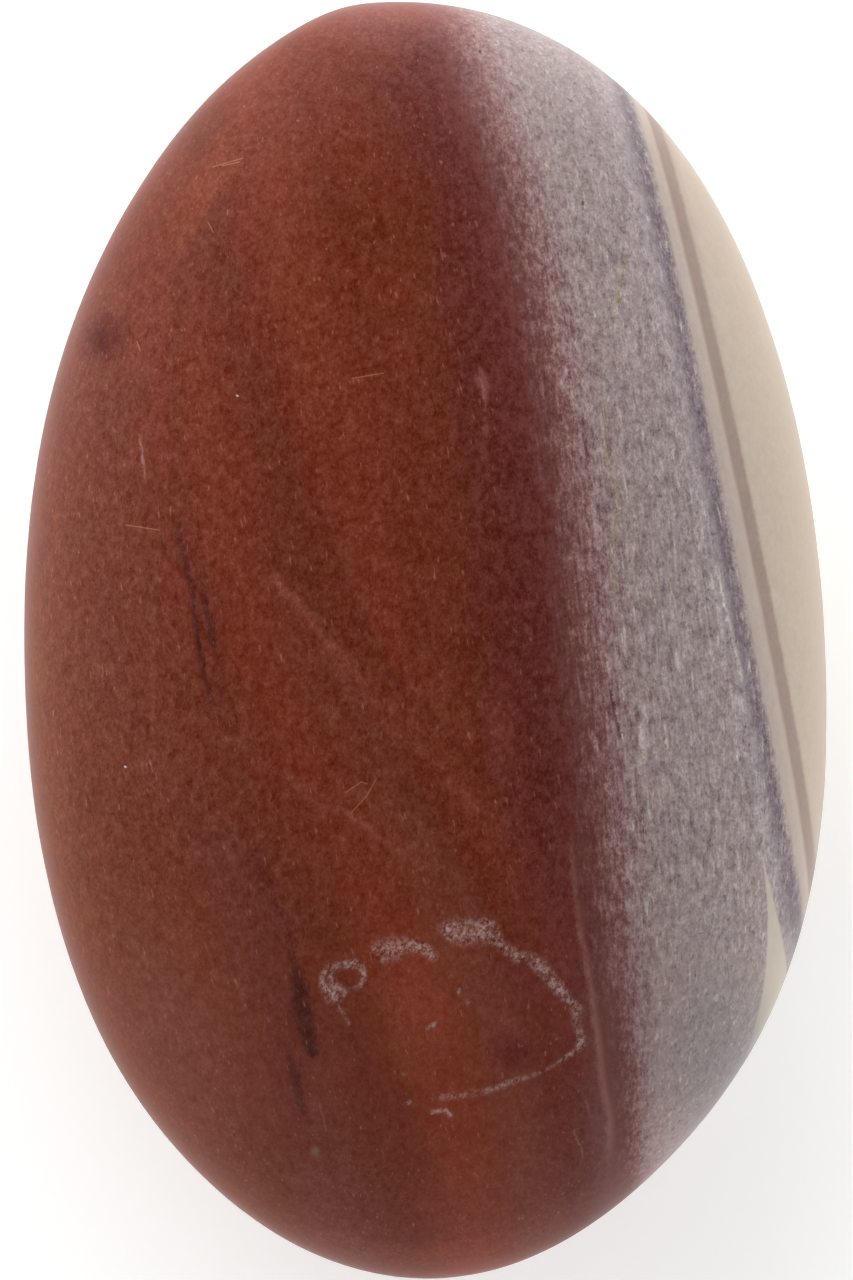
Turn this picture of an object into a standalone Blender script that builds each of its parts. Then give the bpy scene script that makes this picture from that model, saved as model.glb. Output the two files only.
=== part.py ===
"""Palm stone: one solid piece of banded jasper, ground and tumbled into a flattened egg that fills a palm.

Metres, +Z up. The stone lies on its belly: the origin is the middle of its box on the surface it rests on, +Y runs
along its length towards the narrower end, and +X runs across it towards the pale band.
"""

import math

import bmesh
import bpy

# Driving dimensions, in metres.
LENGTH = 0.0720
WIDTH = 0.0453
CROWN_HEIGHT = 0.0118  # from the girth, which is the widest outline, up to the top of the dome
BELLY_DEPTH = 0.0097  # from the girth down to the resting face
WORN_DEPTH = 0.0004  # how much of the belly's dome is worn off where the stone rests
WORN_BLEND = 0.0002  # how far above the resting face the dome starts to turn into it

# The section: 2 is a plain ellipse, and more gives a fuller shoulder, as on a bar of soap.
SECTION_FULLNESS = 2.25

# Seen from above the stone is an ellipse with broad, shallow swells. Each is the direction that it faces, in
# degrees from +X, its height as a share of the radius there, and how far it spreads round the edge, in degrees.
PLAN_SWELLS = (
    (-28.0, 0.049, 22.5),  # the full heel, low on the right
    (21.0, -0.024, 41.0),  # the slimmer flank above it
    (79.0, -0.026, 27.0),  # the narrow end's right shoulder, ground back
    (103.0, 0.007, 7.5),  # the narrow end's small corner
    (160.0, 0.018, 20.0),  # the left flank
    (-149.0, 0.034, 28.0),  # the lower left flank, almost as full as the heel
)

# The crown and the belly don't mirror each other: the girth rides a little up and down round the stone, and the
# dome is thicker towards the broad end and the left.
GIRTH_WAVE = 0.0005
GIRTH_WAVE_FACES = math.radians(60.0)
THICKER_TO_BROAD_END = 0.05
THICKER_TO_LEFT = 0.04

FACET_LEVEL = 5  # an icosphere of this level has 5120 faces

STONE_RED = (0.166, 0.041, 0.026, 1.0)
STONE_ROUGHNESS = 0.5


def clear_scene():
    for item in list(bpy.data.objects):
        bpy.data.objects.remove(item)


def jasper_material():
    material = bpy.data.materials.new("banded_jasper")
    material.use_nodes = True
    shader = material.node_tree.nodes["Principled BSDF"]
    shader.inputs["Base Color"].default_value = STONE_RED
    shader.inputs["Roughness"].default_value = STONE_ROUGHNESS
    shader.inputs["Metallic"].default_value = 0.0
    return material


def plan_radius(direction):
    """The outline's radius in this direction (radians), as a share of the plain ellipse's."""
    radius = 1.0
    for faces, height, spread in PLAN_SWELLS:
        away = (math.degrees(direction) - faces + 180.0) % 360.0 - 180.0
        radius += height * math.exp(-((away / spread) ** 2))
    return radius


def worn_flat(height, floor):
    """The height of the dome once it is worn down to floor: exactly floor where the dome was well below it."""
    share = min(max(0.5 + 0.5 * (height - floor) / WORN_BLEND, 0.0), 1.0)
    return floor + share * (height - floor) + WORN_BLEND * share * (1.0 - share)


def stone_point(x, y, z):
    """Where a point of the unit sphere lies on the stone, measured from the girth's middle."""
    direction = math.atan2(y, x)
    level = math.hypot(x, y)
    out = level ** (2.0 / SECTION_FULLNESS) * plan_radius(direction)
    up = math.copysign(abs(z) ** (2.0 / SECTION_FULLNESS), z)
    across = out * math.cos(direction)
    along = out * math.sin(direction)
    thickness = 1.0 - THICKER_TO_BROAD_END * along - THICKER_TO_LEFT * across
    girth = GIRTH_WAVE * out * math.cos(2.0 * (direction - GIRTH_WAVE_FACES))
    if up >= 0.0:
        height = girth * (1.0 - up) + CROWN_HEIGHT * thickness * up
    else:
        dome = girth * (1.0 + up) + (BELLY_DEPTH + WORN_DEPTH) * thickness * up
        height = worn_flat(dome, -BELLY_DEPTH)
    return across * WIDTH / 2, along * LENGTH / 2, height


def centre_on_origin(bm):
    """Fits the plan to its driving dimensions, and stands the stone on the origin's plane."""
    spans = []
    for axis in range(3):
        places = [vertex.co[axis] for vertex in bm.verts]
        spans.append((min(places), max(places)))
    for vertex in bm.verts:
        for axis, size in ((0, WIDTH), (1, LENGTH)):
            low, high = spans[axis]
            vertex.co[axis] = (vertex.co[axis] - (low + high) / 2) * size / (high - low)
        vertex.co.z -= spans[2][0]


def build_stone(collection):
    bm = bmesh.new()
    bmesh.ops.create_icosphere(bm, subdivisions=FACET_LEVEL, radius=1.0)
    for vertex in bm.verts:
        vertex.co = stone_point(*vertex.co)
    centre_on_origin(bm)
    mesh = bpy.data.meshes.new("palm_stone")
    bm.to_mesh(mesh)
    bm.free()
    mesh.materials.append(jasper_material())
    mesh.shade_smooth()
    stone = bpy.data.objects.new("palm_stone", mesh)
    collection.objects.link(stone)
    return stone


def main():
    clear_scene()
    collection = bpy.data.collections.new("palm_stone_model")
    bpy.context.scene.collection.children.link(collection)
    build_stone(collection)


main()
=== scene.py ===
"""Palm stone of banded jasper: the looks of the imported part, laid out as an add-on and run as a script.

The stone is one piece. Its beds are solid, so they run through it and show on the crown, the sides and the
belly alike; only what lies on the surface, such as a scratch or the chalky crust, stays on the crown. The
mesh is in metres, and every length in the shader is in millimetres.
"""

import math

import bmesh
import bpy
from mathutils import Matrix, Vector, noise


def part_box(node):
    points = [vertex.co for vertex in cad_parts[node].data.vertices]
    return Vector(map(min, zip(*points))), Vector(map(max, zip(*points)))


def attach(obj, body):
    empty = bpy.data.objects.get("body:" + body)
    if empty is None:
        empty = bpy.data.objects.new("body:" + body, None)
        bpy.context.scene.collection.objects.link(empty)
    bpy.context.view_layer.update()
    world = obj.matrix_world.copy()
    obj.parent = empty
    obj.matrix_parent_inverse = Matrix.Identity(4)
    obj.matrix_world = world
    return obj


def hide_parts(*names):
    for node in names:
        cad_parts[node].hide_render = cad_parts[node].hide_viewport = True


bl_info = {
    "name": "Banded Jasper Palm Stone",
    "version": (1, 0, 0),
    "blender": (4, 5, 0),
    "location": "View3D > Sidebar > Palm Stone",
    "description": "Builds a ground palm stone of banded jasper and the pale stage that it is shown on",
    "category": "Object",
}

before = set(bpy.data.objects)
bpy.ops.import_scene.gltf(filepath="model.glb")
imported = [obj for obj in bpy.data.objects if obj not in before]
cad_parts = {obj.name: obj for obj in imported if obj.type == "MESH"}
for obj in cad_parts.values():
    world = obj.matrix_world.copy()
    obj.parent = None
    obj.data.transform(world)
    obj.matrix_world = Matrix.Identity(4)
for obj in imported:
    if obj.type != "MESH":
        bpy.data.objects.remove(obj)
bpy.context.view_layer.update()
STONE_LOW, STONE_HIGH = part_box("palm_stone")

MM = 0.001
BAKE_UVS = "OFBake"


def screen(red, green, blue):
    """A colour given in screen values from 0 to 255, as the linear RGBA that Blender works in."""
    linear = []
    for level in (red / 255, green / 255, blue / 255):
        linear.append(level / 12.92 if level <= 0.04045 else ((level + 0.055) / 1.055) ** 2.4)
    return (*linear, 1.0)


def number_prop(name, description, default, low=0.0, high=1000.0, **kind):
    """A number that a user can change. Kind is its unit and subtype, where they fit."""
    return bpy.props.FloatProperty(
        name=name, description=description, default=default, min=low, max=high, precision=5, **kind
    )


def length_prop(name, description, default):
    return number_prop(name, description, default, unit="LENGTH")


def angle_prop(name, description, degrees):
    kind = {"subtype": "ANGLE", "unit": "ROTATION"}
    return number_prop(name, description, math.radians(degrees), high=math.tau, **kind)


def colour_prop(name, description, *levels):
    return bpy.props.FloatVectorProperty(
        name=name,
        description=description,
        default=screen(*levels),
        subtype="COLOR",
        size=4,
        min=0.0,
        max=1.0,
    )


# ---------- settings ----------


class StoneSizes(bpy.types.PropertyGroup):
    """The stone's sizes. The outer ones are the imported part's own."""

    length: length_prop("Length", "From the narrow end to the broad end", STONE_HIGH.y - STONE_LOW.y)
    width: length_prop("Width", "Across the broad face", STONE_HIGH.x - STONE_LOW.x)
    thickness: length_prop("Thickness", "From the resting face to the top", STONE_HIGH.z - STONE_LOW.z)
    crown_share: number_prop(
        "Crown share", "How much of the thickness is above the girth", 0.549, 0.2, 0.8, subtype="FACTOR"
    )
    fullness: number_prop("Fullness", "2 is a plain ellipse, and more is fuller", 2.25, 1.5, 4.0)
    wave_depth: length_prop("Ground waves", "How deep the hand-ground hollows are", 0.00005)
    wave_length: length_prop("Ground wave length", "How far apart the hand-ground hollows are", 0.011)
    steps: bpy.props.IntProperty(
        name="Mesh steps", description="Faces along each edge of its cube", default=120, min=8, max=128
    )


class StoneColours(bpy.types.PropertyGroup):
    """The colours of the beds and of the marks in them and on them."""

    umber: colour_prop("Umber", "The body's dull side, to the left", 96, 43, 22)
    brick: colour_prop("Brick red", "The body's red flow bands", 99, 43, 28)
    brown: colour_prop("Brown", "The darker bands between the red ones", 87, 38, 24)
    rust: colour_prop("Rust", "The warm glow low in the red band", 110, 48, 31)
    shade: colour_prop("Purple shade", "The dull purple low in the body", 97, 47, 36)
    rose: colour_prop("Rose", "The paler side of the rust, low in the body", 104, 52, 39)
    maroon: colour_prop("Maroon", "The darkest bed, beside the plum", 83, 36, 29)
    plum: colour_prop("Plum", "The bed between the maroon and the mauve", 91, 51, 48)
    mauve: colour_prop("Mauve", "The thin bed that opens into the lavender", 111, 79, 78)
    lavender: colour_prop("Lavender", "The broad grey-lavender bed", 131, 118, 117)
    pale_lavender: colour_prop("Pale lavender", "The streaky bed beside the slate line", 136, 125, 124)
    slate: colour_prop("Slate", "The blue-grey line between lavender and cream", 107, 95, 100)
    blush: colour_prop("Blush", "The pinkish cream beside the slate line", 153, 139, 130)
    taupe: colour_prop("Taupe", "The brown line in the cream", 131, 113, 104)
    cream: colour_prop("Cream", "The cream edge", 157, 143, 129)
    speck: colour_prop("Dark specks", "Specks in the lavender", 92, 86, 97)
    fleck: colour_prop("Pale flecks", "Flecks in the red", 138, 84, 70)
    dash: colour_prop("Pale dashes", "Dashes in the lavender", 168, 157, 148)
    olive: colour_prop("Olive", "Squiggles in the lavender", 124, 110, 86)
    streak: colour_prop("Dark streaks", "Streaks in the body", 52, 23, 21)
    vein: colour_prop("Veins", "The pinkish veins", 128, 84, 78)
    scratch: colour_prop("Scratches", "Hair scratches", 168, 122, 88)
    chalk: colour_prop("Chalk", "The dried crust", 190, 170, 167)


class StoneStage(bpy.types.PropertyGroup):
    """The floor, the light and the camera."""

    floor: colour_prop("Floor", "The pale floor", 253, 253, 252)
    floor_glow: number_prop("Floor glow", "How much light the floor gives off, as a light table does", 0.2)
    key_power: number_prop("Key light", "Power of the large soft lamp", 2.8, unit="POWER")
    key_turn: angle_prop("Key direction", "Where the lamp and the room's bright side are, from +X", 107.0)
    key_height: angle_prop("Key height", "How high the lamp stands above the horizon", 16.0)
    zenith: number_prop("Light overhead", "How bright the room is overhead", 0.0)
    horizon: number_prop("Light at the sides", "How bright the room is at its sides", 6.4)
    one_sided: number_prop(
        "One-sidedness", "How much brighter the room is on the lamp's side", 0.24, 0.0, 1.0, subtype="FACTOR"
    )
    camera_height: length_prop("Camera height", "How far the camera stands above the girth", 0.4)
    camera_across: length_prop("Camera offset", "How far the camera stands to the right", 0.00006)
    view_length: length_prop("View length", "How much of the girth's plane the long side shows", 0.07228)


# ---------- shape ----------

# Seen from above the stone is an ellipse with broad, shallow swells: (the direction that each faces, in
# degrees from +X, its height as a share of the radius there, how many degrees it spreads round the edge).
PLAN_SWELLS = (
    (-28.0, 0.049, 22.5),  # the full heel, low on the right
    (21.0, -0.024, 41.0),  # the slimmer flank above it
    (79.0, -0.026, 27.0),  # the narrow end's right shoulder, ground back
    (103.0, 0.007, 7.5),  # the narrow end's small corner
    (160.0, 0.018, 20.0),  # the left flank
    (-149.0, 0.034, 28.0),  # the lower left flank, almost as full as the heel
)
GIRTH_WAVE = 0.0005  # how far the girth rides up and down
GIRTH_WAVE_FACES = math.radians(60.0)
THICKER_TO_BROAD_END = 0.05  # as a share of the thickness, and so is the next
THICKER_TO_LEFT = 0.04
WORN_DEPTH = 0.0004  # how much of the belly is worn off to rest on
WORN_BLEND = 0.0002
FINE_WAVE_SHARE = 0.3  # a second, shorter wave's length and depth, as shares of the main one's
ARC_STEPS = 12
CROWN_ISLAND = 0.25  # where the crown's UV island has its middle, across the square
BELLY_ISLAND = 0.75
ISLAND_REACH = (0.242, 0.492)  # half an island's room, across and along, less a margin


def plan_radius(direction):
    """The outline's radius in this direction (radians), as a share of the plain ellipse's."""
    radius = 1.0
    for faces, height, spread in PLAN_SWELLS:
        away = (math.degrees(direction) - faces + 180.0) % 360.0 - 180.0
        radius += height * math.exp(-((away / spread) ** 2))
    return radius


def worn_flat(height, floor):
    """The dome's height once it is worn down to floor: exactly floor where the dome was well below it."""
    share = min(max(0.5 + 0.5 * (height - floor) / WORN_BLEND, 0.0), 1.0)
    return floor + share * (height - floor) + WORN_BLEND * share * (1.0 - share)


def stone_point(unit, size, crown, belly, power):
    """Where a point of the unit sphere lies on the stone, measured from the girth's middle."""
    direction = math.atan2(unit.y, unit.x)
    out = math.hypot(unit.x, unit.y) ** power * plan_radius(direction)
    up = math.copysign(abs(unit.z) ** power, unit.z)
    across = out * math.cos(direction)
    along = out * math.sin(direction)
    thickness = 1.0 - THICKER_TO_BROAD_END * along - THICKER_TO_LEFT * across
    girth = GIRTH_WAVE * out * math.cos(2.0 * (direction - GIRTH_WAVE_FACES))
    if up >= 0.0:
        height = girth * (1.0 - up) + crown * thickness * up
    else:
        height = worn_flat(girth * (1.0 + up) + (belly + WORN_DEPTH) * thickness * up, -belly)
    return Vector((across * size.x / 2, along * size.y / 2, height))


def round_cube(steps):
    """A unit sphere of even quads: a cube cut into a grid and blown up."""
    bm = bmesh.new()
    bmesh.ops.create_cube(bm, size=2.0)
    bmesh.ops.subdivide_edges(bm, edges=bm.edges[:], cuts=steps - 1, use_grid_fill=True)
    for vertex in bm.verts:
        spread = [math.tan(place * math.pi / 4) for place in vertex.co]
        vertex.co = Vector(spread).normalized()
    return bm


def grind(bm, depth, wave_length):
    """Leaves the faint hollows of hand grinding. The worn resting face stays flat."""
    bm.normal_update()
    hollows = {}
    for vertex in bm.verts:
        broad = noise.noise(vertex.co / wave_length)
        fine = noise.noise(vertex.co / (wave_length * FINE_WAVE_SHARE)) * FINE_WAVE_SHARE
        hollows[vertex] = vertex.normal * (broad + fine) * depth
    for vertex, hollow in hollows.items():
        vertex.co += hollow


def fit_to_box(bm, low, size):
    """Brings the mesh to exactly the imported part's box."""
    for axis in range(3):
        places = [vertex.co[axis] for vertex in bm.verts]
        start, span = min(places), max(places) - min(places)
        for vertex in bm.verts:
            vertex.co[axis] = low[axis] + (vertex.co[axis] - start) * size[axis] / span


def arc_length(radius, height, level, power):
    """How far a point is from the dome's top along the surface. Level is 0 at the top and 1 at the girth."""
    length = 0.0
    last = (0.0, height)
    for step in range(1, ARC_STEPS + 1):
        angle = level * math.pi / 2 * step / ARC_STEPS
        point = (radius * math.sin(angle) ** power, height * max(math.cos(angle), 0.0) ** power)
        length += math.dist(last, point)
        last = point
    return length


def unroll(bm, units, girth, size, power):
    """Bake UVs in two islands, crown and belly, each unrolled from its top by the length of arc."""
    layer = bm.loops.layers.uv.new(BAKE_UVS)
    flat = {}
    for vertex in bm.verts:
        unit = units[vertex.index]
        level = math.acos(min(abs(unit.z), 1.0)) / (math.pi / 2)
        direction = math.atan2(unit.y, unit.x)
        swell = plan_radius(direction)
        radius = math.hypot(math.cos(direction) * size.x, math.sin(direction) * size.y) / 2 * swell
        heading = math.atan2(math.sin(direction) * size.y, math.cos(direction) * size.x)
        arc = arc_length(radius, girth, level, power)
        flat[vertex] = (arc * math.cos(heading), arc * math.sin(heading))
    reach_across = max(abs(place[0]) for place in flat.values())
    reach_along = max(abs(place[1]) for place in flat.values())
    for face in bm.faces:
        on_crown = sum(units[vertex.index].z for vertex in face.verts) > 0.0
        middle = CROWN_ISLAND if on_crown else BELLY_ISLAND
        for loop in face.loops:
            across, along = flat[loop.vert]
            u = middle + across / reach_across * ISLAND_REACH[0]
            v = 0.5 + along / reach_along * ISLAND_REACH[1]
            loop[layer].uv = (u, v)


def stone_mesh(sizes):
    size = Vector((sizes.width, sizes.length, sizes.thickness))
    crown = size.z * sizes.crown_share
    belly = size.z - crown
    power = 2.0 / sizes.fullness
    bm = round_cube(sizes.steps)
    bm.verts.index_update()
    units = [vertex.co.copy() for vertex in bm.verts]
    for vertex in bm.verts:
        vertex.co = stone_point(vertex.co, size, crown, belly, power)
    grind(bm, sizes.wave_depth, sizes.wave_length)
    fit_to_box(bm, STONE_LOW, size)
    unroll(bm, units, crown, size, power)
    mesh = bpy.data.meshes.new("jasper_palm_stone")
    bm.to_mesh(mesh)
    bm.free()
    mesh.shade_smooth()
    return mesh


# ---------- shader net tools ----------

ORIGIN = (0.0, 0.0, 0.0)
SCREEN_GAMMA = 2.2


class Net:
    """Adds nodes to one shader tree and wires them up, so that a material reads as a list of steps."""

    def __init__(self, tree):
        self.tree = tree
        self.column = 0

    def node(self, kind, inputs=(), **settings):
        made = self.tree.nodes.new(kind)
        made.location = (200.0 * (self.column // 6), -220.0 * (self.column % 6))
        self.column += 1
        for name, value in settings.items():
            setattr(made, name, value)
        for socket, value in inputs:
            self.plug(made.inputs[socket], value)
        return made

    def plug(self, socket, value):
        if isinstance(value, bpy.types.NodeSocket):
            self.tree.links.new(value, socket)
        else:
            socket.default_value = value

    def math(self, operation, *values, clamp=False):
        made = self.node("ShaderNodeMath", enumerate(values), operation=operation, use_clamp=clamp)
        return made.outputs[0]

    def times(self, first, second):
        return self.math("MULTIPLY", first, second)

    def times_plus(self, first, second, third):
        """First times second, plus third."""
        return self.math("MULTIPLY_ADD", first, second, third)

    def minus(self, first, second):
        return self.math("SUBTRACT", first, second)

    def apart(self, first, second):
        """How far two numbers are from each other."""
        return self.math("ABSOLUTE", self.minus(first, second))

    def vector(self, operation, *values):
        made = self.node("ShaderNodeVectorMath", enumerate(values), operation=operation)
        return made.outputs[0]

    def measure(self, operation, *values):
        """A vector operation whose answer is a number."""
        made = self.node("ShaderNodeVectorMath", enumerate(values), operation=operation)
        return made.outputs["Value"]

    def scaled(self, vector, scale):
        inputs = ((0, vector), ("Scale", scale))
        return self.node("ShaderNodeVectorMath", inputs, operation="SCALE").outputs[0]

    def turned(self, vector, angle, back=False):
        """A place turned about Z."""
        inputs = (("Vector", vector), ("Angle", angle))
        return self.node("ShaderNodeVectorRotate", inputs, rotation_type="Z_AXIS", invert=back).outputs[0]

    def combine(self, x, y, z):
        return self.node("ShaderNodeCombineXYZ", (("X", x), ("Y", y), ("Z", z))).outputs[0]

    def separate(self, vector):
        return self.node("ShaderNodeSeparateXYZ", (("Vector", vector),)).outputs

    def noise(self, place, detail, roughness, scale=1.0):
        inputs = (("Vector", place), ("Scale", scale), ("Detail", detail), ("Roughness", roughness))
        return self.node("ShaderNodeTexNoise", inputs).outputs[0]

    def smooth(self, value, start, end, low=0.0, high=1.0):
        """Low where value is before start, high past end, and a smooth step between them."""
        inputs = (("Value", value), (1, start), (2, end), (3, low), (4, high))
        return self.node("ShaderNodeMapRange", inputs, interpolation_type="SMOOTHSTEP").outputs[0]

    def mix(self, factor, first, second):
        """Mixes two colours."""
        inputs = ((0, factor), (6, first), (7, second))
        return self.node("ShaderNodeMix", inputs, data_type="RGBA").outputs[2]

    def encoded(self, colour):
        """A colour as screens store it, where equal steps look equal."""
        return self.node("ShaderNodeGamma", (("Color", colour), ("Gamma", 1 / SCREEN_GAMMA))).outputs[0]

    def decoded(self, colour):
        """The way back from encoded."""
        return self.node("ShaderNodeGamma", (("Color", colour), ("Gamma", SCREEN_GAMMA))).outputs[0]

    def shift(self, colour, amount, levels):
        """Adds amount times levels (red, green, blue, in screen steps) to an encoded colour."""
        step = tuple(level / 255 for level in levels)
        return self.vector("MULTIPLY_ADD", self.combine(amount, amount, amount), step, colour)

    def group(self, tree, **inputs):
        made = self.node("ShaderNodeGroup", (), node_tree=tree)
        for name, value in inputs.items():
            self.plug(made.inputs[socket_name(name)], value)
        return made.outputs[0]

    def ramp(self, value, start, end, stops):
        """A colour that changes with value. Stops hold (value, colour) and lie between start and end."""
        share = self.node("ShaderNodeMapRange", (("Value", value), (1, start), (2, end))).outputs[0]
        made = self.node("ShaderNodeValToRGB", (("Fac", share),))
        elements = made.color_ramp.elements
        while len(elements) < len(stops):
            elements.new(0.5)
        for element, (at, colour) in zip(elements, stops):
            element.position = (at - start) / (end - start)
            element.color = colour
        return made.outputs["Color"]

    def trace(self, along, rows):
        """Three numbers that change along a line: rows hold (where along it, first, second, third)."""
        made = self.node("ShaderNodeVectorCurve", (("Vector", self.combine(along, along, along)),))
        mapping = made.mapping
        mapping.use_clip = False
        mapping.extend = "HORIZONTAL"
        for column, curve in enumerate(mapping.curves, start=1):
            curve.points[0].location = (rows[0][0], rows[0][column])
            curve.points[1].location = (rows[-1][0], rows[-1][column])
            for row in rows[1:-1]:
                curve.points.new(row[0], row[column])
            for point in curve.points:
                point.handle_type = "AUTO_CLAMPED"
        mapping.update()
        return self.separate(made.outputs[0])


def socket_name(key):
    return key.replace("_", " ").capitalize()


def new_group(name, output, **inputs):
    """An empty shader group with one output, and with inputs named and preset as given."""
    tree = bpy.data.node_groups.new(name, "ShaderNodeTree")
    for key, default in inputs.items():
        kind = "NodeSocketVector" if isinstance(default, tuple) else "NodeSocketFloat"
        socket = tree.interface.new_socket(socket_name(key), in_out="INPUT", socket_type=kind)
        socket.default_value = default
    tree.interface.new_socket(output, in_out="OUTPUT", socket_type="NodeSocketFloat")
    net = Net(tree)
    given = net.node("NodeGroupInput").outputs
    return net, given, net.node("NodeGroupOutput").inputs[0]


# ---------- shader groups ----------

FACE_LEVEL = 15.0  # the height, in millimetres, that a bed's offset is given at


def bed_distance_group():
    """How far a place is past a bed's face, measured across the stone. The face may bow, twist and dip."""
    net, given, out = new_group(
        "Bed distance", "Distance", place=ORIGIN, offset=0.0, slope=0.0, bow=0.0, twist=0.0, dip=0.0
    )
    x, y, z = net.separate(given["Place"])
    line = net.times_plus(y, given["Twist"], given["Bow"])
    line = net.times_plus(line, y, given["Slope"])
    line = net.times_plus(line, y, given["Offset"])
    line = net.times_plus(net.minus(z, FACE_LEVEL), given["Dip"], line)
    net.plug(out, net.minus(x, line))
    return net.tree


def soft_patch_group():
    """A soft-edged patch: 1 in its middle and 0 from its rim out."""
    net, given, out = new_group(
        "Soft patch", "Mask", place=ORIGIN, middle=ORIGIN, reach=(1.0, 1.0, 1.0), turn=0.0
    )
    away = net.vector("SUBTRACT", given["Place"], given["Middle"])
    turned = net.turned(away, given["Turn"], back=True)
    share = net.measure("LENGTH", net.vector("DIVIDE", turned, given["Reach"]))
    net.plug(out, net.smooth(share, 1.0, 0.0))
    return net.tree


def stroke_group():
    """A straight soft-edged stroke between two places in plan."""
    net, given, out = new_group(
        "Stroke", "Mask", plan=ORIGIN, start=ORIGIN, end=(0.0, 1.0, 0.0), half_width=0.1
    )
    away = net.vector("SUBTRACT", given["Plan"], given["Start"])
    line = net.vector("SUBTRACT", given["End"], given["Start"])
    top = net.measure("DOT_PRODUCT", away, line)
    share = net.math("DIVIDE", top, net.measure("DOT_PRODUCT", line, line), clamp=True)
    off = net.measure("DISTANCE", away, net.scaled(line, share))
    net.plug(out, net.smooth(off, given["Half width"], 0.0))
    return net.tree


def stretched(net, given):
    """A place turned by Lean about Z and counted in units of Length along and Thickness across."""
    unit = net.combine(given["Thickness"], given["Length"], given["Thickness"])
    return net.vector("DIVIDE", net.turned(given["Place"], given["Lean"]), unit)


def fibres_group():
    """Grain along the stone, about -1 to 1. Detail adds finer grain, and Roughness is its strength."""
    net, given, out = new_group(
        "Fibres",
        "Value",
        place=ORIGIN,
        lean=0.0,
        length=1.0,
        thickness=0.2,
        detail=2.0,
        roughness=0.6,
        gain=4.0,
    )
    grain = net.noise(stretched(net, given), given["Detail"], given["Roughness"])
    net.plug(out, net.times(net.minus(grain, 0.5), given["Gain"]))
    return net.tree


def flecks_group():
    """Separate dashes along the stone. Rarity runs from 0.5, half of it, to about 0.8, hardly any."""
    net, given, out = new_group(
        "Flecks", "Mask", place=ORIGIN, lean=0.0, length=1.0, thickness=0.2, rarity=0.65, softness=0.1
    )
    grain = net.noise(stretched(net, given), 0.0, 0.5)
    full = net.math("ADD", given["Rarity"], given["Softness"])
    net.plug(out, net.smooth(grain, given["Rarity"], full))
    return net.tree


# ---------- the jasper itself ----------

# A tone is the name of one of the stone's colours, or its own red, green and blue levels.

# Each bed's face, as the Bed distance group takes it.
MAUVE_FACE = dict(offset=8.748, slope=-0.1005, bow=-0.001155, twist=-0.000045, dip=0.1)
SLATE_FACE = dict(offset=17.9, slope=-0.2078, bow=0.0008, twist=-0.00002, dip=0.07)
TAUPE_FACE = dict(offset=19.246, slope=-0.2118, dip=0.085)
WEDGE_INNER_FACE = dict(offset=13.15, slope=-0.692, bow=-0.02, dip=0.1)
WEDGE_OUTER_FACE = dict(offset=14.76, slope=-0.319, dip=0.1)

# How deep the grain frays a face: from this far past it to this far, the depth before and the depth after.
MAUVE_FRAY = (-6.0, -1.0, 0.12, 0.45)
SLATE_FRAY = (-0.2, -0.7, 0.02, 0.14)
TAUPE_FRAY = 0.02
FINE_FRAY_SHARE = 0.35  # how much the fine grain adds to the streaky one where it frays the faces

# The tones by distance, to the right of the flow path or past a face: the span that the ramp covers, and its
# stops, (distance, tone).
BODY_SPAN = (-15.0, 14.0)
BODY_STOPS = (
    (-14.0, "umber"), (-4.5, (94, 43, 29)), (-2.4, (96, 42, 28)), (-0.6, "brick"), (1.4, "brick"),
    (3.2, (94, 41, 27)), (4.8, "brown"), (6.2, (93, 39, 25)), (7.6, "brick"), (9.2, "brick"),
    (11.4, (93, 40, 25)),
)
MAUVE_SPAN = (-5.0, 5.0)
MAUVE_STOPS = (
    (-4.0, "maroon"), (-3.0, (84, 38, 34)), (-2.4, (87, 43, 39)), (-1.6, "plum"), (-1.0, (98, 61, 59)),
    (0.0, "mauve"), (1.0, (124, 100, 99)), (2.0, (130, 113, 111)), (4.0, "lavender"),
)
SLATE_SPAN = (-3.0, 7.0)
SLATE_STOPS = (
    (-2.2, "lavender"), (-1.42, "pale_lavender"), (-0.92, (123, 113, 115)), (-0.6, "slate"),
    (-0.24, (110, 98, 102)), (0.02, (136, 124, 120)), (0.2, (150, 138, 131)), (0.45, "blush"),
    (0.7, (157, 142, 132)), (1.5, (152, 137, 127)), (1.9, (158, 144, 130)), (2.6, "cream"),
)

# Soft edges: where each begins, and where it is complete.
CROWN_EDGE = (9.0, 11.0)  # in height: below it, marks on the crown give way to a plain flank
LOW_END = (-6.0, -18.0)  # along the stone: the maroon grows paler and narrower
LOWEST_END = (-18.0, -21.5)  # and the plum paler
LOW_PLUM_EDGE = (0.9, -0.8)  # past the mauve face, as the next two are
LOW_MAROON_EDGE = (-1.6, -3.4)
MAROON_EDGE = (-8.5, -4.2)
LOW_MAROON_SHIFT = 2.0  # how much nearer the mauve face the maroon begins at the low end
SLATE_EDGE = (-4.0, -2.2)  # past the slate face, as the next is
CREAM_EDGE = (-0.05, 0.15)
TAUPE_EDGE = (0.5, 0.22)  # from the taupe face, to either side
WEDGE_EDGE = (-0.1, 0.06)  # past its inner face, and short of its outer one
WEDGE_TOP = (-11.0, -12.2)  # along the stone
BED_SHARES = {"lavender": (-2.2, 0.4), "grey": (0.2, 1.8), "body": (-0.6, -3.4)}  # past the mauve face
LOW_PLUM = (94, 56, 53)
LOW_MAROON = (94, 44, 38)
WEDGE_CREAM = (159, 150, 138)

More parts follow.
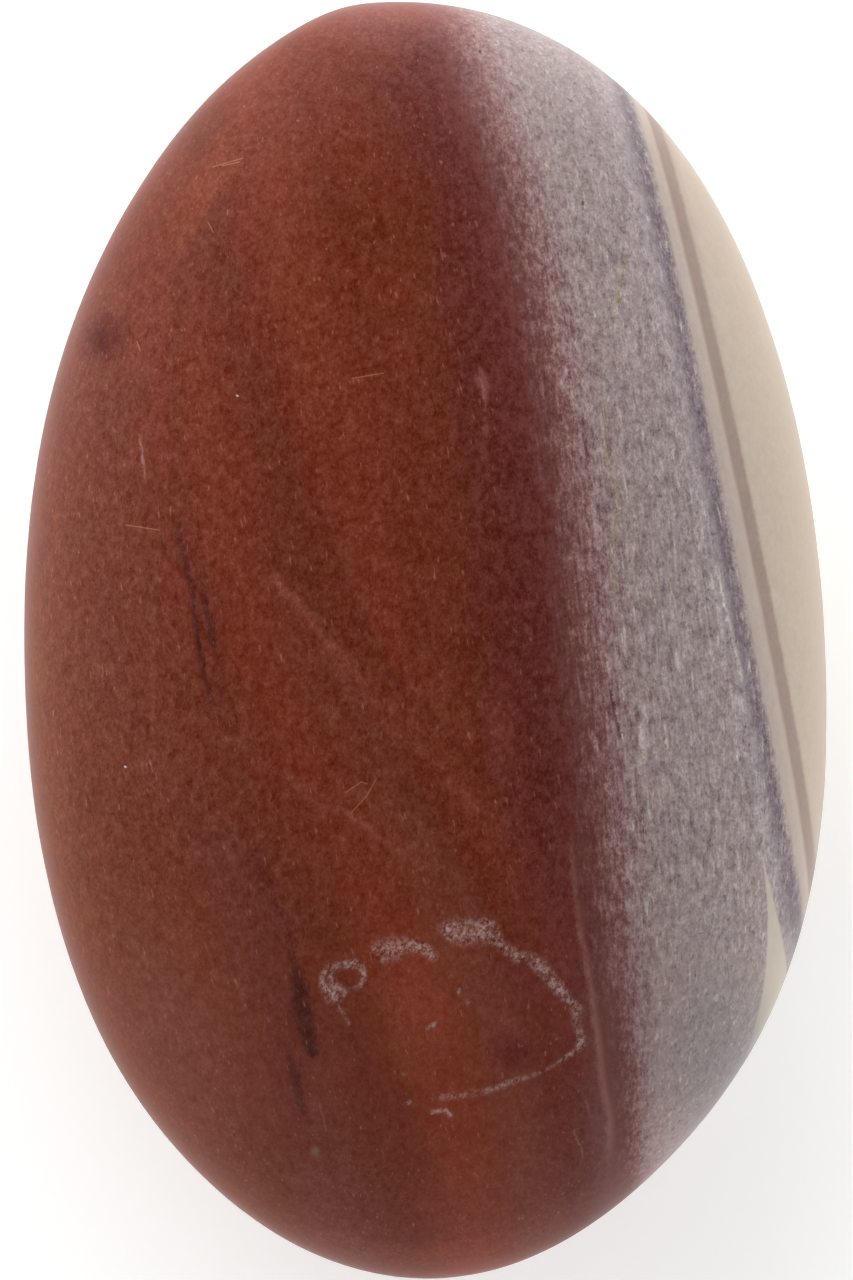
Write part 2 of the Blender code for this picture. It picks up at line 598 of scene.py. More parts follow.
# The body's flow bands lie side by side along one path that swings down to the right. From the low end up:
# (y, x of the path, how purple its left side is, how rusty its middle is).
FLOW_PATH = (
    (-36.0, 2.8, 1.0, 1.0), (-31.6, 2.5, 1.0, 1.0), (-26.0, 1.4, 1.0, 0.9), (-21.5, 0.25, 1.0, 1.0),
    (-17.5, -1.4, 1.0, 0.75), (-13.0, -3.1, 0.9, 0.35), (-9.0, -5.4, 0.6, 0.2), (-4.5, -7.7, 0.3, 0.1),
    (0.0, -10.2, 0.1, 0.0), (4.5, -11.6, 0.0, 0.0), (10.2, -12.7, 0.0, 0.0), (14.7, -14.4, 0.0, 0.0),
    (24.0, -16.6, 0.0, 0.0), (36.0, -19.0, 0.0, 0.0),
)
FLOW_WAVER = 0.4  # how far the mottle bends the bands
# Soft tints along the path: how far right of it, soft edge, tone, which of its shares it follows, strength.
FLOW_TINTS = (
    (-7.6, (3.4, 0.6), "shade", "purple", 1.0),
    (0.2, (3.6, 0.8), "rust", "rusty", 1.0),
    (3.8, (2.6, 0.6), "rose", "purple", 0.9),
)
# Soft patches over the beds: (x, y, z), (reach along x, y and z), turn in degrees, tone, strength.
PATCHES = (
    ((-3.0, 23.0, 19.0), (6.5, 7.5, 9.0), 0.0, (84, 34, 17), 0.8),  # the umber shade near the narrow end
    ((-12.4, 25.0, 16.0), (2.0, 5.5, 7.0), -30.0, (109, 50, 29), 0.75),  # the brighter rust to its left
    ((-2.2, 32.2, 12.0), (3.0, 2.2, 6.0), 0.0, (110, 51, 32), 0.9),  # and above it
    ((7.6, -24.5, 17.0), (3.0, 8.0, 9.0), -4.0, (90, 40, 30), 0.7),  # dull purple, low beside the long vein
    ((4.0, -5.0, 20.5), (1.7, 4.2, 6.0), 8.0, (102, 49, 41), 0.8),  # the tan edge of the maroon
    ((-12.6, -21.0, 15.0), (6.2, 11.5, 10.0), 18.0, (108, 56, 44), 0.8),  # the paler side, low on the left
    ((-0.4, -20.5, 20.0), (3.4, 5.5, 8.0), 0.0, (116, 56, 41), 0.75),  # the glow inside the crust's loop
    ((5.2, -19.2, 20.0), (2.6, 2.8, 5.0), 0.0, (96, 46, 39), 0.7),  # a purple tinge inside the crust's loop
    ((4.9, -22.7, 19.5), (1.9, 1.6, 5.0), 0.0, (83, 33, 26), 0.9),  # dark maroon in the loop's corner
    ((-16.2, 22.5, 13.0), (3.2, 8.0, 6.0), -28.0, (86, 34, 14), 0.75),  # the duller upper left flank
    ((-18.0, 16.9, 15.0), (2.5, 2.2, 4.0), 0.0, (68, 13, 0), 0.9),  # the smudge on it
    ((-1.9, 34.1, 10.5), (6.4, 4.0, 6.0), 0.0, (124, 73, 64), 1.0),  # painted highlight: the narrow end's tip made paler where its rim would reflect the lamp
    ((16.5, -23.5, 13.0), (6.0, 8.0, 8.0), 30.0, (113, 106, 105), 1.0),  # the greyer low end of the lavender
    ((20.4, -14.6, 13.5), (1.1, 3.2, 4.0), 12.0, (102, 92, 97), 0.9),  # the dusk between wedge and slate
    ((8.5, 25.0, 15.0), (12.0, 9.0, 12.0), 0.0, (0, 0, 0), 0.1),  # painted shade: the narrow end darkened a little towards black
    ((6.4, -31.5, 11.0), (8.8, 6.8, 8.0), 25.0, (0, 0, 0), 0.24),  # painted shade: the broad tip darkened towards black
)

# Pale bands across the body: (start), (end), half width, strength.
TAN_BANDS = (
    ((-8.3, 3.5), (-3.3, -2.5), 0.5, 0.8), ((-5.4, -0.6), (-1.4, -5.1), 1.2, 0.45),
    ((-1.8, -4.6), (3.2, -9.4), 0.5, 0.5), ((-10.8, -5.5), (-5.4, -9.2), 0.4, 0.35),
    ((-4.7, -9.2), (-1.3, -11.7), 0.3, 0.8),
)
TAN = (111, 57, 44)

# Lines that run with the grain, each traced from the low end up in rows of (y, x, half width, strength).
STREAKS = (
    (  # the thin one, left of the middle
        (-4.6, -11.66, 0.1, 0.0), (-3.2, -11.85, 0.32, 0.55), (-1.2, -12.31, 0.34, 0.65),
        (0.7, -12.62, 0.34, 0.75), (1.6, -12.69, 0.32, 0.7), (3.4, -13.01, 0.34, 0.65),
        (4.6, -13.3, 0.4, 0.6), (5.8, -13.54, 0.4, 0.45), (7.3, -13.77, 0.3, 0.3), (9.6, -14.05, 0.12, 0.0),
    ),
    (  # its faint neighbours
        (-0.9, -11.6, 0.09, 0.0), (-0.2, -11.7, 0.3, 0.6), (1.0, -11.9, 0.34, 0.7), (2.0, -12.16, 0.3, 0.5),
        (3.2, -12.45, 0.09, 0.0), (4.3, -14.3, 0.09, 0.0), (5.0, -14.42, 0.22, 0.5),
        (6.2, -14.62, 0.09, 0.0),
    ),
    (  # the dark one, low on the left
        (-23.2, -6.15, 0.25, 0.0), (-22.7, -6.3, 0.62, 0.85), (-21.4, -6.58, 0.95, 0.95),
        (-20.0, -6.82, 1.0, 1.0), (-18.8, -7.01, 0.85, 0.95), (-17.6, -7.27, 0.5, 0.6),
        (-16.4, -7.75, 0.75, 0.3), (-14.8, -8.35, 0.9, 0.25), (-13.0, -8.8, 0.9, 0.3),
        (-11.6, -9.25, 0.8, 0.2), (-10.6, -9.5, 0.34, 0.0),
    ),
    (  # the thin one below it
        (-27.3, -6.2, 0.09, 0.0), (-26.0, -6.72, 0.46, 0.45), (-24.6, -7.1, 0.52, 0.55),
        (-23.3, -7.38, 0.46, 0.45), (-22.0, -7.7, 0.09, 0.0),
    ),
)
STREAK_HALOS = (
    (  # round the thin streak
        (-6.5, -10.6, 0.6, 0.0), (-4.0, -10.95, 1.2, 0.6), (-1.2, -11.5, 1.5, 0.9), (2.4, -12.2, 1.5, 1.0),
        (6.0, -13.2, 1.5, 0.9), (9.6, -13.8, 1.2, 0.8), (14.0, -13.9, 1.1, 0.7), (18.7, -13.6, 1.1, 0.6),
        (22.0, -13.4, 0.6, 0.0),
    ),
    (  # round the dark one
        (-30.0, -6.5, 0.5, 0.0), (-26.0, -7.2, 1.1, 0.5), (-22.0, -7.7, 1.4, 0.6), (-18.0, -8.6, 1.4, 0.7),
        (-14.0, -9.4, 1.2, 0.5), (-10.0, -9.8, 0.7, 0.0),
    ),
    (  # the dark side of the tan bands
        (-8.6, 3.7, 0.3, 0.0), (-6.6, 2.2, 0.9, 0.7), (-4.2, 0.3, 0.9, 0.6), (-1.6, -2.2, 0.7, 0.7),
        (1.2, -3.6, 1.0, 0.8), (4.2, -4.9, 1.0, 0.7), (7.5, -6.4, 0.5, 0.0),
    ),
)
DARK_SEAMS = (
    ((-5.7, 10.78, 0.07, 0.0), (-5.2, 10.66, 0.16, 1.0), (-2.9, 10.18, 0.14, 0.9), (-2.2, 10.06, 0.07, 0.0)),
    ((0.9, 9.4, 0.05, 0.0), (1.3, 9.35, 0.13, 0.7), (1.9, 9.22, 0.13, 0.7), (2.3, 9.16, 0.05, 0.0)),
    ((9.5, 8.96, 0.05, 0.0), (9.9, 8.93, 0.14, 0.9), (10.7, 8.84, 0.14, 0.9), (11.2, 8.8, 0.05, 0.0)),
)
VEINS = (
    (  # the long one beside the plum
        (-29.4, 10.2, 0.15, 0.0), (-27.9, 10.23, 0.39, 0.5), (-26.6, 10.21, 0.39, 0.6),
        (-24.5, 9.81, 0.39, 0.65), (-22.2, 9.56, 0.36, 0.65), (-20.1, 9.24, 0.36, 0.65),
        (-17.6, 8.84, 0.33, 0.65), (-15.0, 8.36, 0.3, 0.45), (-12.0, 8.08, 0.24, 0.35),
        (-10.0, 7.9, 0.15, 0.0),
    ),
    (  # its thin neighbours
        (-29.0, 8.8, 0.08, 0.0), (-28.2, 8.62, 0.12, 0.6), (-27.2, 8.25, 0.12, 0.6),
        (-26.8, 9.2, 0.08, 0.0), (-25.9, 9.0, 0.11, 0.5), (-25.0, 8.8, 0.08, 0.0),
    ),
    (  # a pale lozenge beside the plum, and a dot below it
        (11.1, 3.34, 0.08, 0.0), (11.6, 3.33, 0.32, 0.4), (12.1, 3.32, 0.08, 0.0), (12.6, 3.3, 0.08, 0.2),
        (13.1, 3.28, 0.2, 0.5), (13.9, 3.22, 0.5, 0.55), (14.3, 3.18, 0.58, 0.55), (14.7, 3.08, 0.34, 0.5),
        (15.2, 2.95, 0.08, 0.0),
    ),
    (  # the short pale one at the far left
        (8.7, -15.44, 0.05, 0.0), (9.2, -15.5, 0.12, 0.8), (10.6, -15.7, 0.14, 1.0),
        (11.6, -15.8, 0.05, 0.0),
    ),
    (  # a hair vein low on the left
        (-27.3, -5.45, 0.05, 0.0), (-26.8, -5.58, 0.11, 0.5), (-25.7, -5.84, 0.09, 0.5),
        (-25.3, -5.9, 0.05, 0.0),
    ),
)
DASHES = (
    (  # the pale line beside the slate
        (-2.4, 17.6, 0.06, 0.0), (-1.8, 17.46, 0.17, 0.9), (1.1, 16.79, 0.17, 0.8), (3.4, 16.28, 0.17, 0.8),
        (4.2, 16.12, 0.06, 0.0),
    ),
    ((-6.9, 12.12, 0.08, 0.0), (-6.3, 12.06, 0.24, 0.9), (-5.0, 11.97, 0.24, 0.9), (-4.3, 11.9, 0.08, 0.0)),
    ((-6.1, 13.34, 0.06, 0.0), (-5.7, 13.31, 0.15, 1.0), (-4.8, 13.22, 0.15, 0.9), (-4.3, 13.18, 0.06, 0.0)),
    (
        (-15.0, 18.15, 0.06, 0.0), (-14.4, 18.11, 0.15, 0.7), (-13.9, 18.05, 0.15, 0.7),
        (-13.3, 18.0, 0.06, 0.0),
    ),
    ((-1.9, 14.05, 0.06, 0.0), (-1.5, 13.98, 0.18, 0.6), (-1.0, 13.9, 0.18, 0.6), (-0.5, 13.84, 0.06, 0.0)),
)
OLIVE_SQUIGGLES = (
    (
        (1.8, 10.42, 0.12, 0.0), (3.1, 10.42, 0.24, 0.6), (4.7, 10.26, 0.22, 0.5), (6.1, 10.43, 0.24, 0.6),
        (7.6, 10.65, 0.26, 0.5), (9.5, 10.15, 0.26, 0.6), (11.2, 9.94, 0.24, 0.5), (13.6, 9.88, 0.12, 0.0),
    ),
    (
        (17.0, 10.4, 0.12, 0.0), (18.6, 10.52, 0.26, 0.9), (20.2, 10.92, 0.2, 0.7), (21.8, 11.1, 0.16, 0.5),
        (23.2, 11.16, 0.16, 0.4), (24.4, 11.07, 0.12, 0.0),
    ),
)
LINE_WAVER = 0.03  # how far the fine grain bends them
# In the order that they are laid: traces, tone, strength.
LINES = (
    (STREAK_HALOS, "maroon", 0.55),
    (STREAKS, "streak", 0.8),
    (VEINS, "vein", 0.85),
    (DASHES, "dash", 0.7),
    (OLIVE_SQUIGGLES, "olive", 0.7),
    (DARK_SEAMS, "streak", 0.7),
)

# Straight marks on the crown: tone, strength, half width, and each one's (start) and (end).
CROWN_MARKS = (
    (  # hair scratches
        "scratch",
        0.4,
        0.05,
        (
            ((-11.82, 26.32), (-10.14, 26.77)), ((-11.31, 26.36), (-10.36, 26.55)),
            ((-12.06, 23.18), (-11.77, 22.61)), ((-16.0, 16.56), (-15.83, 16.08)),
            ((-4.04, 14.37), (-2.28, 14.67)), ((-16.55, 6.36), (-14.69, 6.06)),
            ((-4.36, -8.36), (-3.53, -7.78)), ((-3.53, -7.78), (-3.18, -7.89)),
            ((-2.71, -7.62), (-3.18, -8.5)), ((-3.18, -8.5), (-4.08, -9.49)),
        ),
    ),
    # two white specks, two dark dots and a grey one
    ((196, 182, 178), 0.8, 0.08, (((-16.6, -6.99), (-16.55, -7.02)), ((-10.38, 13.46), (-10.33, 13.43)))),
    ("streak", 0.8, 0.16, (((3.04, 32.78), (3.04, 32.86)), ((8.72, 24.14), (8.72, 24.22)))),
    ("olive", 0.3, 0.42, (((-6.12, -28.35), (-6.12, -28.27)),)),
)

# The chalky crust dried in broken rings. Each is its middle and, from -180 to 180 degrees round it, rows of
# (direction, radius, half width, strength).
CRUST_RINGS = (
    (  # the large loop, low on the crown
        (2.45, -20.6),
        (
            (-180.0, 4.9, 0.05, 0.0), (-118.0, 4.95, 0.05, 0.0), (-111.8, 4.87, 0.26, 0.4),
            (-88.4, 4.39, 0.24, 0.55), (-63.7, 4.37, 0.2, 0.8), (-44.4, 4.87, 0.16, 0.45),
            (-36.0, 5.25, 0.14, 0.35), (-27.5, 5.66, 0.18, 0.6), (-14.4, 6.39, 0.28, 0.9),
            (-6.2, 5.94, 0.36, 0.45), (2.4, 5.92, 0.42, 0.65), (11.5, 5.23, 0.44, 0.85),
            (22.6, 4.9, 0.44, 0.95), (30.4, 4.72, 0.44, 0.9), (41.7, 4.6, 0.42, 0.85),
            (46.4, 4.34, 0.46, 0.8), (51.2, 4.1, 0.38, 0.8), (67.6, 4.3, 0.42, 0.8),
            (76.9, 4.72, 0.66, 1.2), (92.7, 4.62, 0.72, 1.2), (105.0, 4.72, 0.58, 1.15),
            (110.5, 4.9, 0.3, 0.4), (114.0, 4.95, 0.05, 0.0), (180.0, 4.9, 0.05, 0.0),
        ),
    ),
    (  # the small ring, on the left
        (-4.31, -18.52),
        (
            (-180.0, 1.1, 0.42, 1.1), (-150.0, 1.1, 0.5, 1.2), (-125.0, 1.15, 0.6, 1.15),
            (-105.0, 1.0, 0.45, 0.8), (-85.0, 0.7, 0.18, 0.45), (-45.0, 0.82, 0.17, 0.6),
            (-10.0, 0.92, 0.2, 0.9), (25.0, 0.95, 0.24, 0.95), (55.0, 0.85, 0.32, 1.1),
            (95.0, 0.68, 0.26, 0.95), (130.0, 0.85, 0.24, 0.7), (155.0, 1.02, 0.3, 0.8),
            (180.0, 1.1, 0.42, 1.1),
        ),
    ),
    (  # the arch between them
        (-1.0, -18.8),
        (
            (-180.0, 2.9, 0.05, 0.0), (30.0, 1.98, 0.1, 0.0), (40.3, 2.01, 0.26, 0.6),
            (57.5, 2.05, 0.36, 0.95), (75.0, 2.09, 0.42, 1.0), (95.0, 2.02, 0.55, 0.9),
            (115.5, 2.06, 0.72, 0.85), (133.0, 2.36, 0.55, 0.75), (146.0, 2.6, 0.2, 0.0),
            (180.0, 2.9, 0.05, 0.0),
        ),
    ),
)
# Smaller crust: (start), (end), half width, strength.
CRUST_BITS = (
    ((-4.85, -20.0), (-4.2, -21.1), 0.12, 0.4), ((-2.3, -17.6), (-1.9, -17.5), 0.2, 0.7),
    ((0.4, -26.08), (1.02, -25.9), 0.16, 0.95), ((1.02, -25.9), (1.4, -26.22), 0.16, 0.85),
    ((0.17, -21.35), (0.52, -21.12), 0.16, 0.9), ((-1.05, -25.6), (-0.9, -25.5), 0.15, 0.75),
    ((-1.25, -23.95), (-1.1, -23.9), 0.14, 0.35), ((1.8, -19.41), (1.88, -19.2), 0.1, 0.9),
    ((2.3, -19.95), (2.38, -19.85), 0.1, 0.9),
)
CRUST_SOFTNESS = 1.5  # how many half widths the crust takes to fade out
CHALK_COVER = 0.13  # the even veil under the powder
POWDER_GRAINS = (-1.2, 2.2, -0.5, 1.9)  # from this grain to this one, how strong before and after
POWDER_FULL = 0.9  # the crust's strength at which the powder is as deep as it gets
POWDER_DEPTH = 0.2

# The grains, as the Fibres group takes them. The fine one runs from 0.9 mm down to 0.07 mm.
FINE_GRAIN = dict(lean=-0.1, length=0.84, thickness=0.53, detail=3.4, roughness=1.05, gain=18.0)
STREAKY_GRAIN = dict(lean=-0.12, length=2.2, thickness=0.22, detail=1.5, roughness=0.8, gain=5.0)
MOTTLE = dict(lean=-0.45, length=4.4, thickness=1.9, detail=1.6, roughness=0.65, gain=4.5)
POWDER = dict(lean=0.5, length=0.4, thickness=0.3, detail=2.2, roughness=1.0, gain=9.0)
# Their depths in screen steps. The body's and the lavender's are added to the cream's.
GRAIN_DEPTH = {"cream": 1.4, "body": 2.7, "lavender": 6.8}
BODY_DUST_DEPTH = 5.0  # the powder's, which is the body's finest grain
STREAK_STEPS = (10.0, 9.6, 8.6)
MOTTLE_STEPS = (1.7, 0.2, 0.0)
# Towards both ends the grain is calmer, and in the grey beds calmer still: from y, to y, what is left of it.
CALM_ENDS = ((-8.0, -25.0, 0.6), (14.0, 26.0, 0.85))
HUSHED_ENDS = ((-14.0, -24.0, 0.75), (22.0, 32.0, 0.65))
# Flecks: where, their tone, how strong, and their Flecks group settings.
FLECKS = (
    ("body", "fleck", 0.5, dict(lean=-0.17, length=0.75, thickness=0.13, rarity=0.745, softness=0.09)),
    ("grey", "dash", 0.4, dict(lean=-0.12, length=1.5, thickness=0.18, rarity=0.67, softness=0.12)),
    ("grey", "speck", 0.55, dict(lean=0.0, length=0.26, thickness=0.17, rarity=0.67, softness=0.1)),
)

SATIN = 0.38  # the ground surface's roughness, and how much the fine grain and the crust add to it
SATIN_WAVER = 0.02
CRUST_DULLNESS = 0.35
SPECULAR_LEVEL = 0.17
RELIEF_GRAIN = 4.0  # grains to a millimetre
RELIEF_DEPTH = 0.01
RELIEF_STRENGTH = 0.3


class JasperShader:
    """Builds the banded jasper's material, one layer of its look after another."""

    def __init__(self, colours):
        self.colours = {key: tuple(getattr(colours, key)) for key in StoneColours.__annotations__}
        self.material = bpy.data.materials.new("banded_jasper")
        self.material.use_nodes = True
        self.net = Net(self.material.node_tree)
        self.bed_distance = bed_distance_group()
        self.soft_patch = soft_patch_group()
        self.stroke = stroke_group()
        self.fibres = fibres_group()
        self.flecks = flecks_group()

    def build(self):
        net = self.net
        self.place = net.scaled(net.node("ShaderNodeTexCoord").outputs["Object"], 1 / MM)
        self.x, self.y, self.z = net.separate(self.place)
        self.plan = net.combine(self.x, self.y, 0.0)
        self.on_crown = net.smooth(self.z, *CROWN_EDGE)
        self.make_grain()
        self.find_beds()
        colour = self.bed_colours(self.body_colours())
        colour = self.patched(colour)
        colour = self.lined(colour)
        colour = self.flecked(colour)
        colour = self.grained(colour)
        colour = self.marked(colour)
        crust = self.crust()
        colour = net.mix(crust, colour, self.colours["chalk"])
        self.finish(colour, crust)
        return self.material

    def colour_of(self, tone):
        return self.colours[tone] if isinstance(tone, str) else screen(*tone)

    def painted(self, colour, tone, mask, strength=1.0):
        """The colour with a tone laid over it where the mask is."""
        return self.net.mix(self.net.times(mask, strength), colour, self.colour_of(tone))

    def ramp(self, value, span, stops):
        return self.net.ramp(value, *span, [(at, self.colour_of(tone)) for at, tone in stops])

    def strokes(self, rows, softness=1.0):
        """The mask of straight strokes: rows hold (start), (end), half width and strength."""
        net = self.net
        mask = 0.0
        for start, end, half_width, strength in rows:
            ends = {"start": (*start, 0.0), "end": (*end, 0.0)}
            one = net.group(self.stroke, plan=self.plan, half_width=half_width * softness, **ends)
            mask = net.math("MAXIMUM", mask, net.times(one, strength))
        return mask

    def make_grain(self):
        """The grains that the rest draws on, and where they are calmer."""
        self.fine, self.streaky, self.mottle, self.powder = (
            self.net.group(self.fibres, place=self.place, **settings)
            for settings in (FINE_GRAIN, STREAKY_GRAIN, MOTTLE, POWDER)
        )
        self.calm = self.towards_ends(CALM_ENDS)
        self.hush = self.towards_ends(HUSHED_ENDS)

    def towards_ends(self, ends):
        """1 along the stone's middle, and less towards each end."""
        low, high = (self.net.smooth(self.y, start, end, 1.0, left) for start, end, left in ends)
        return self.net.times(low, high)

    def find_beds(self):
        """How far each place is past the beds' faces. The grain frays the faces, the mauve one most."""
        net = self.net
        mauve, slate, taupe, self.wedge_inner, self.wedge_outer = (
            net.group(self.bed_distance, place=self.place, **face)
            for face in (MAUVE_FACE, SLATE_FACE, TAUPE_FACE, WEDGE_INNER_FACE, WEDGE_OUTER_FACE)
        )
        fray = net.times_plus(self.fine, FINE_FRAY_SHARE, self.streaky)
        torn = net.times(net.smooth(mauve, *MAUVE_FRAY), self.hush)
        self.mauve = net.times_plus(fray, torn, mauve)
        self.slate = net.times_plus(fray, net.smooth(slate, *SLATE_FRAY), slate)
        self.taupe = net.times_plus(fray, TAUPE_FRAY, taupe)

    def body_colours(self):
        """The body's flow bands, and the pale bands across them."""
        net = self.net
        path, purple, rusty = net.trace(self.y, FLOW_PATH)
        shares = {"purple": purple, "rusty": rusty}
        across = net.times_plus(self.mottle, FLOW_WAVER, net.minus(self.x, path))
        colour = self.ramp(across, BODY_SPAN, BODY_STOPS)
        for right, edge, tone, share, strength in FLOW_TINTS:
            band = net.smooth(net.apart(across, right), *edge)
            colour = self.painted(colour, tone, band, net.times(shares[share], strength))
        return self.painted(colour, TAN, self.strokes(TAN_BANDS))

    def bed_colours(self, body):
        """The beds from the maroon to the cream edge, beside the body."""
        net = self.net
        left = self.ramp(self.mauve, MAUVE_SPAN, MAUVE_STOPS)
        right = self.ramp(self.slate, SLATE_SPAN, SLATE_STOPS)
        low = net.smooth(self.y, *LOW_END)
        lowest = net.smooth(self.y, *LOWEST_END)
        left = self.painted(left, LOW_PLUM, lowest, net.smooth(self.mauve, *LOW_PLUM_EDGE))
        left = self.painted(left, LOW_MAROON, low, net.smooth(self.mauve, *LOW_MAROON_EDGE))
        start, end = (net.times_plus(low, LOW_MAROON_SHIFT, edge) for edge in MAROON_EDGE)
        colour = net.mix(net.smooth(self.mauve, start, end), body, left)
        colour = net.mix(net.smooth(self.slate, *SLATE_EDGE), colour, right)
        colour = self.painted(colour, "taupe", net.smooth(net.math("ABSOLUTE", self.taupe), *TAUPE_EDGE))
        inner = net.smooth(self.wedge_inner, *WEDGE_EDGE)
        outer = net.smooth(net.minus(0.0, self.wedge_outer), *WEDGE_EDGE)
        wedge = net.times(net.times(inner, outer), net.smooth(self.y, *WEDGE_TOP))
        not_cream = net.minus(1.0, net.math("MAXIMUM", net.smooth(self.slate, *CREAM_EDGE), wedge))
        self.share = {
            bed: net.times(net.smooth(self.mauve, *edge), not_cream) for bed, edge in BED_SHARES.items()
        }
        return self.painted(colour, WEDGE_CREAM, wedge)

    def patched(self, colour):
        """The soft patches where a bed is duller, paler or warmer, with a painted highlight on the narrow
        tip and painted shade over both ends.
        """
        for middle, reach, turn, tone, strength in PATCHES:
            settings = {"middle": middle, "reach": reach, "turn": math.radians(turn)}
            patch = self.net.group(self.soft_patch, place=self.place, **settings)
            colour = self.painted(colour, tone, patch, strength)
        return colour

    def lined(self, colour):
        """The streaks, veins and dashes that run with the grain on the crown."""
        net = self.net
        wander = net.times_plus(self.fine, LINE_WAVER, self.x)
        for traces, tone, strength in LINES:
            mask = 0.0
            for rows in traces:
                middle, half_width, depth = net.trace(self.y, rows)
                line = net.times(net.smooth(net.apart(wander, middle), half_width, 0.0), depth)
                mask = net.math("MAXIMUM", mask, line)
            colour = self.painted(colour, tone, net.times(mask, self.on_crown), strength)
        return colour

    def flecked(self, colour):
        """Flecks in the red, and pale dashes and dark specks in the lavender."""
        net = self.net
        for share, tone, strength, settings in FLECKS:
            mask = net.group(self.flecks, place=self.place, **settings)
            colour = self.painted(colour, tone, net.times(mask, self.share[share]), strength)
        return colour

    def grained(self, colour):
        """The grain itself: equal steps up and down, deepest in the lavender and faint in the cream."""
        net = self.net
        in_body = self.share["body"]
        in_lavender = net.times(self.share["lavender"], self.hush)
        depth = net.times_plus(in_lavender, GRAIN_DEPTH["lavender"], GRAIN_DEPTH["cream"])
        depth = net.times_plus(in_body, GRAIN_DEPTH["body"], depth)
        dust = net.times(net.times(self.powder, BODY_DUST_DEPTH), in_body)
        grain = net.times(net.times_plus(self.fine, depth, dust), self.calm)
        streaks = net.times(net.times(self.streaky, in_lavender), self.calm)
        mottle = net.times(self.mottle, in_body)
        colour = net.encoded(colour)
        for amount, levels in ((grain, (1.0, 1.0, 1.0)), (streaks, STREAK_STEPS), (mottle, MOTTLE_STEPS)):
            colour = net.shift(colour, amount, levels)
        return net.decoded(colour)

    def marked(self, colour):
        """The hair scratches and the few dots on the crown."""
        for tone, strength, half_width, ends in CROWN_MARKS:
            mask = self.strokes([(start, end, half_width, 1.0) for start, end in ends])
            colour = self.painted(colour, tone, self.net.times(mask, self.on_crown), strength)
        return colour

    def crust(self):
        """Where the chalky crust is, and how thick."""
        net = self.net
        band = self.strokes(CRUST_BITS, CRUST_SOFTNESS)
        for middle, rows in CRUST_RINGS:
            away = net.vector("SUBTRACT", self.plan, (*middle, 0.0))
            x, y, _ = net.separate(away)
            heading = net.math("DEGREES", net.math("ARCTAN2", y, x))
            radius, half_width, strength = net.trace(heading, rows)
            off = net.apart(net.measure("LENGTH", away), radius)
            ring = net.times(net.smooth(off, net.times(half_width, CRUST_SOFTNESS), 0.0), strength)
            band = net.math("MAXIMUM", band, ring)
        band = net.times(band, self.on_crown)
        grains = net.smooth(self.powder, *POWDER_GRAINS)
        speckle = net.times(grains, net.smooth(band, 0.0, POWDER_FULL, 0.0, POWDER_DEPTH))
        return net.math("MULTIPLY_ADD", band, CHALK_COVER, speckle, clamp=True)

    def finish(self, colour, crust):
        """Roughness, relief and the shader itself."""
        net = self.net
        satin = net.times_plus(self.fine, SATIN_WAVER, SATIN)
        grain = net.noise(self.place, 1.0, 0.6, RELIEF_GRAIN)
        relief = (("Height", grain), ("Strength", RELIEF_STRENGTH), ("Distance", RELIEF_DEPTH * MM))
        inputs = net.tree.nodes["Principled BSDF"].inputs
        net.plug(inputs["Base Color"], colour)
        net.plug(inputs["Roughness"], net.times_plus(crust, CRUST_DULLNESS, satin))
        net.plug(inputs["Specular IOR Level"], SPECULAR_LEVEL)
        net.plug(inputs["Normal"], net.node("ShaderNodeBump", relief).outputs[0])


class STONE_OT_build_stone(bpy.types.Operator):
    """Build the palm stone and give it its banded jasper"""

    bl_idname = "palm_stone.build_stone"
    bl_label = "Build Palm Stone"

    def execute(self, context):
        scene = context.scene
        mesh = stone_mesh(scene.stone_sizes)
        mesh.materials.append(JasperShader(scene.stone_colours).build())
        stone = bpy.data.objects.new("jasper_palm_stone", mesh)
        scene.collection.objects.link(stone)
        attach(stone, "root")
        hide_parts("palm_stone")
        return {"FINISHED"}


# ---------- stage ----------

FLOOR_HALF_WIDTH = 1.5
KEY_DISTANCE = 0.55
KEY_SIZE = (0.5, 0.35)
SKY_TOP = 0.69  # the sine of the height at which the room's light has died away
SENSOR = 36.0
FLOOR_ROUGHNESS = 0.9
FLOOR_SPECULAR = 0.1


def lay_floor(colour, glow):
    bm = bmesh.new()
    bmesh.ops.create_grid(bm, x_segments=4, y_segments=4, size=FLOOR_HALF_WIDTH)
    mesh = bpy.data.meshes.new("floor")
    bm.to_mesh(mesh)
    bm.free()
    material = bpy.data.materials.new("pale_floor")
    material.use_nodes = True
    inputs = material.node_tree.nodes["Principled BSDF"].inputs
    inputs["Base Color"].default_value = colour
    inputs["Roughness"].default_value = FLOOR_ROUGHNESS
    inputs["Specular IOR Level"].default_value = FLOOR_SPECULAR
    inputs["Emission Color"].default_value = colour
    inputs["Emission Strength"].default_value = glow
    mesh.materials.append(material)
    floor = bpy.data.objects.new("floor", mesh)
    bpy.context.scene.collection.objects.link(floor)


